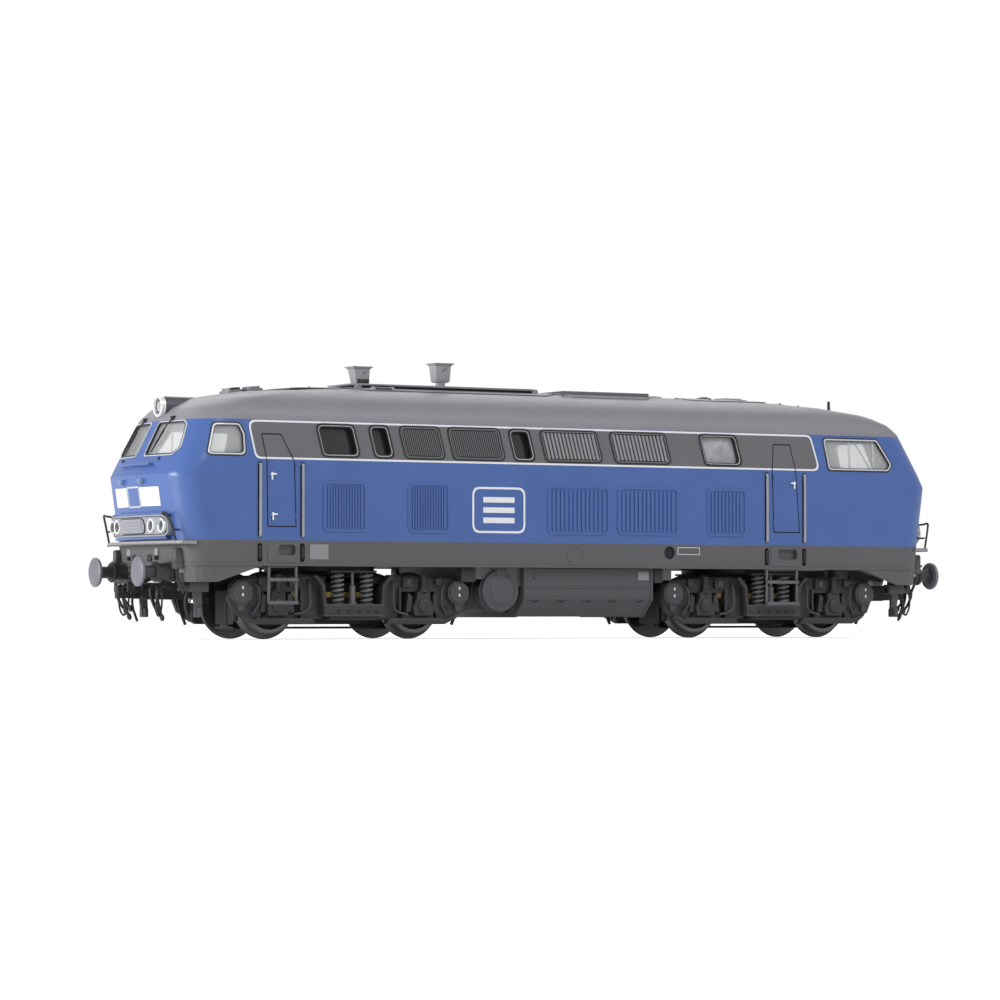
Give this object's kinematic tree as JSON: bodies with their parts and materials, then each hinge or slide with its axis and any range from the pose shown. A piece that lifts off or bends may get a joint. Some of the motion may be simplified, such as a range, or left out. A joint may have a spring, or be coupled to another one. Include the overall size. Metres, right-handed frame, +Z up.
{
  "type": "model diesel locomotive",
  "caption": "Scale model of a two-cab diesel-hydraulic locomotive with a central motor that drives every axle of its bogies through cardan shafts, worms and gears.",
  "frame": {"origin": "on the rail-head plane, below the middle of the locomotive", "axes": "+X along the track towards cab 2, +Y across the track, +Z up"},
  "size_m": [0.1884, 0.0372, 0.0559],
  "materials": {
    "body_paint": "satin printed plastic shell: blue sides, grey roof, band and skirt",
    "clear_glazing": "clear moulded glazing",
    "dark_glazing": "smoked glazing and dark grille inserts",
    "grille_grey": "matt dark grey plug-in grille",
    "roof_grey": "matt roof grey",
    "lamp_lens": "clear light guides",
    "black_detail": "matt black fine detail parts",
    "buffer_grey": "matt grey buffers",
    "underframe_grey": "matt dark grey running gear mouldings",
    "zinc_casting": "chemically blackened zinc casting",
    "cab_plastic": "matt grey-green cab moulding",
    "circuit_board": "green solder mask",
    "screw_steel": "zinc-plated screws",
    "motor_steel": "plated steel can",
    "rotor_copper": "laminated core with copper windings",
    "brass": "turned brass",
    "gear_plastic": "natural acetal",
    "wheel_steel": "nickel-plated treads, blackened discs",
    "pickup_bronze": "phosphor bronze strip",
    "worm_steel": "turned steel",
    "black_plastic": "black moulded plastic"
  },
  "bodies": {
    "frame": {"body_shell": "body_paint", "cab_glazing": "clear_glazing", "engine_room_glazing": "dark_glazing", "radiator_grille": "grille_grey", "cooling_fan": "black_plastic", "end_aprons": "underframe_grey", "roof_fittings": "roof_grey", "lamp_lenses": "lamp_lens", "windscreen_wipers": "black_detail", "handrails": "black_detail", "buffers": "buffer_grey", "brake_hoses": "black_detail", "footsteps": "underframe_grey", "chassis_frame": "zinc_casting", "fuel_tank": "underframe_grey", "air_tanks": "underframe_grey", "cab_interiors": "cab_plastic", "circuit_board": "circuit_board", "frame_screws": "screw_steel", "motor_housing": "motor_steel"},
    "motor_rotor": {"motor_rotor": "rotor_copper", "flywheels": "brass"},
    "cardan_shaft_1": {"cardan_shaft_1": "black_plastic"},
    "bogie_1": {"bogie_1_gear_case": "black_plastic", "bogie_1_bottom_cover": "black_plastic", "bogie_1_side_frames": "underframe_grey", "bogie_1_springs": "underframe_grey", "bogie_1_worm_cover": "black_plastic", "bogie_1_pickups": "pickup_bronze", "bogie_1_pins_and_bushes": "brass"},
    "bogie_1_worm": {"bogie_1_worm": "worm_steel"},
    "bogie_1_worm_wheel": {"bogie_1_worm_wheel": "brass"},
    "bogie_1_idler_a": {"bogie_1_idler_a": "gear_plastic"},
    "bogie_1_idler_b": {"bogie_1_idler_b": "gear_plastic"},
    "bogie_1_idler_c": {"bogie_1_idler_c": "gear_plastic"},
    "bogie_1_idler_d": {"bogie_1_idler_d": "gear_plastic"},
    "wheelset_1": {"wheelset_1": "wheel_steel"},
    "wheelset_2": {"wheelset_2": "wheel_steel"},
    "coupler_1": {"coupler_1_drawbar": "black_plastic", "coupler_1_head": "black_plastic"},
    "coupler_1_loop": {"coupler_1_loop": "worm_steel"},
    "cardan_shaft_2": {"cardan_shaft_2": "black_plastic"},
    "bogie_2": {"bogie_2_gear_case": "black_plastic", "bogie_2_bottom_cover": "black_plastic", "bogie_2_side_frames": "underframe_grey", "bogie_2_springs": "underframe_grey", "bogie_2_worm_cover": "black_plastic", "bogie_2_pickups": "pickup_bronze", "bogie_2_pins_and_bushes": "brass"},
    "bogie_2_worm": {"bogie_2_worm": "worm_steel"},
    "bogie_2_worm_wheel": {"bogie_2_worm_wheel": "brass"},
    "bogie_2_idler_a": {"bogie_2_idler_a": "gear_plastic"},
    "bogie_2_idler_b": {"bogie_2_idler_b": "gear_plastic"},
    "bogie_2_idler_c": {"bogie_2_idler_c": "gear_plastic"},
    "bogie_2_idler_d": {"bogie_2_idler_d": "gear_plastic"},
    "wheelset_3": {"wheelset_3": "wheel_steel"},
    "wheelset_4": {"wheelset_4": "wheel_steel"},
    "coupler_2": {"coupler_2_drawbar": "black_plastic", "coupler_2_head": "black_plastic"},
    "coupler_2_loop": {"coupler_2_loop": "worm_steel"}
  },
  "joints": [
    {"name": "motor_spin", "type": "hinge", "parent": "frame", "child": "motor_rotor", "pos_m": [0, 0, 0.0188], "axis": [1, 0, 0], "continuous": true},
    {"name": "cardan_1_spin", "type": "hinge", "parent": "frame", "child": "cardan_shaft_1", "pos_m": [-0.03, 0, 0.0188], "axis": [1, 0, 0], "continuous": true},
    {"name": "bogie_1_swivel", "type": "hinge", "parent": "frame", "child": "bogie_1", "pos_m": [-0.0494, 0, 0.0135], "axis": [0, 0, 1], "range_deg": [-6, 6]},
    {"name": "bogie_1_worm_spin", "type": "hinge", "parent": "bogie_1", "child": "bogie_1_worm", "pos_m": [-0.0494, 0, 0.0188], "axis": [1, 0, 0], "continuous": true},
    {"name": "bogie_1_worm_wheel_spin", "type": "hinge", "parent": "bogie_1", "child": "bogie_1_worm_wheel", "pos_m": [-0.0494, 0, 0.0138], "axis": [0, 1, 0], "continuous": true},
    {"name": "bogie_1_idler_a_spin", "type": "hinge", "parent": "bogie_1", "child": "bogie_1_idler_a", "pos_m": [-0.05477, 0, 0.01112], "axis": [0, 1, 0], "continuous": true},
    {"name": "bogie_1_idler_b_spin", "type": "hinge", "parent": "bogie_1", "child": "bogie_1_idler_b", "pos_m": [-0.05978, 0, 0.00861], "axis": [0, 1, 0], "continuous": true},
    {"name": "bogie_1_idler_c_spin", "type": "hinge", "parent": "bogie_1", "child": "bogie_1_idler_c", "pos_m": [-0.04403, 0, 0.01112], "axis": [0, 1, 0], "continuous": true},
    {"name": "bogie_1_idler_d_spin", "type": "hinge", "parent": "bogie_1", "child": "bogie_1_idler_d", "pos_m": [-0.03902, 0, 0.00861], "axis": [0, 1, 0], "continuous": true},
    {"name": "wheelset_1_spin", "type": "hinge", "parent": "bogie_1", "child": "wheelset_1", "pos_m": [-0.0655, 0, 0.00575], "axis": [0, 1, 0], "continuous": true},
    {"name": "wheelset_2_spin", "type": "hinge", "parent": "bogie_1", "child": "wheelset_2", "pos_m": [-0.0333, 0, 0.00575], "axis": [0, 1, 0], "continuous": true},
    {"name": "coupler_1_swing", "type": "hinge", "parent": "frame", "child": "coupler_1", "pos_m": [-0.076, 0, 0.0085], "axis": [0, 0, 1], "range_deg": [-8, 8]},
    {"name": "coupler_1_loop_lift", "type": "hinge", "parent": "coupler_1", "child": "coupler_1_loop", "pos_m": [-0.088, 0, 0.0087], "axis": [0, 1, 0], "range_deg": [0, 20]},
    {"name": "cardan_2_spin", "type": "hinge", "parent": "frame", "child": "cardan_shaft_2", "pos_m": [0.03, 0, 0.0188], "axis": [1, 0, 0], "continuous": true},
    {"name": "bogie_2_swivel", "type": "hinge", "parent": "frame", "child": "bogie_2", "pos_m": [0.0494, 0, 0.0135], "axis": [0, 0, 1], "range_deg": [-6, 6]},
    {"name": "bogie_2_worm_spin", "type": "hinge", "parent": "bogie_2", "child": "bogie_2_worm", "pos_m": [0.0494, 0, 0.0188], "axis": [1, 0, 0], "continuous": true},
    {"name": "bogie_2_worm_wheel_spin", "type": "hinge", "parent": "bogie_2", "child": "bogie_2_worm_wheel", "pos_m": [0.0494, 0, 0.0138], "axis": [0, 1, 0], "continuous": true},
    {"name": "bogie_2_idler_a_spin", "type": "hinge", "parent": "bogie_2", "child": "bogie_2_idler_a", "pos_m": [0.05477, 0, 0.01112], "axis": [0, 1, 0], "continuous": true},
    {"name": "bogie_2_idler_b_spin", "type": "hinge", "parent": "bogie_2", "child": "bogie_2_idler_b", "pos_m": [0.05978, 0, 0.00861], "axis": [0, 1, 0], "continuous": true},
    {"name": "bogie_2_idler_c_spin", "type": "hinge", "parent": "bogie_2", "child": "bogie_2_idler_c", "pos_m": [0.04403, 0, 0.01112], "axis": [0, 1, 0], "continuous": true},
    {"name": "bogie_2_idler_d_spin", "type": "hinge", "parent": "bogie_2", "child": "bogie_2_idler_d", "pos_m": [0.03902, 0, 0.00861], "axis": [0, 1, 0], "continuous": true},
    {"name": "wheelset_3_spin", "type": "hinge", "parent": "bogie_2", "child": "wheelset_3", "pos_m": [0.0333, 0, 0.00575], "axis": [0, 1, 0], "continuous": true},
    {"name": "wheelset_4_spin", "type": "hinge", "parent": "bogie_2", "child": "wheelset_4", "pos_m": [0.0655, 0, 0.00575], "axis": [0, 1, 0], "continuous": true},
    {"name": "coupler_2_swing", "type": "hinge", "parent": "frame", "child": "coupler_2", "pos_m": [0.076, 0, 0.0085], "axis": [0, 0, 1], "range_deg": [-8, 8]},
    {"name": "coupler_2_loop_lift", "type": "hinge", "parent": "coupler_2", "child": "coupler_2_loop", "pos_m": [0.088, 0, 0.0087], "axis": [0, -1, 0], "range_deg": [0, 20]}
  ],
  "couplings": [
    {"joint": "cardan_1_spin", "follows": "motor_spin", "ratio": 1},
    {"joint": "bogie_1_worm_spin", "follows": "motor_spin", "ratio": 1},
    {"joint": "bogie_1_worm_wheel_spin", "follows": "motor_spin", "ratio": -0.0625},
    {"joint": "bogie_1_idler_a_spin", "follows": "motor_spin", "ratio": 0.071429},
    {"joint": "bogie_1_idler_b_spin", "follows": "motor_spin", "ratio": -0.071429},
    {"joint": "bogie_1_idler_c_spin", "follows": "motor_spin", "ratio": 0.071429},
    {"joint": "bogie_1_idler_d_spin", "follows": "motor_spin", "ratio": -0.071429},
    {"joint": "wheelset_1_spin", "follows": "motor_spin", "ratio": 0.055556},
    {"joint": "wheelset_2_spin", "follows": "motor_spin", "ratio": 0.055556},
    {"joint": "cardan_2_spin", "follows": "motor_spin", "ratio": 1},
    {"joint": "bogie_2_worm_spin", "follows": "motor_spin", "ratio": 1},
    {"joint": "bogie_2_worm_wheel_spin", "follows": "motor_spin", "ratio": -0.0625},
    {"joint": "bogie_2_idler_a_spin", "follows": "motor_spin", "ratio": 0.071429},
    {"joint": "bogie_2_idler_b_spin", "follows": "motor_spin", "ratio": -0.071429},
    {"joint": "bogie_2_idler_c_spin", "follows": "motor_spin", "ratio": 0.071429},
    {"joint": "bogie_2_idler_d_spin", "follows": "motor_spin", "ratio": -0.071429},
    {"joint": "wheelset_3_spin", "follows": "motor_spin", "ratio": 0.055556},
    {"joint": "wheelset_4_spin", "follows": "motor_spin", "ratio": 0.055556}
  ]
}
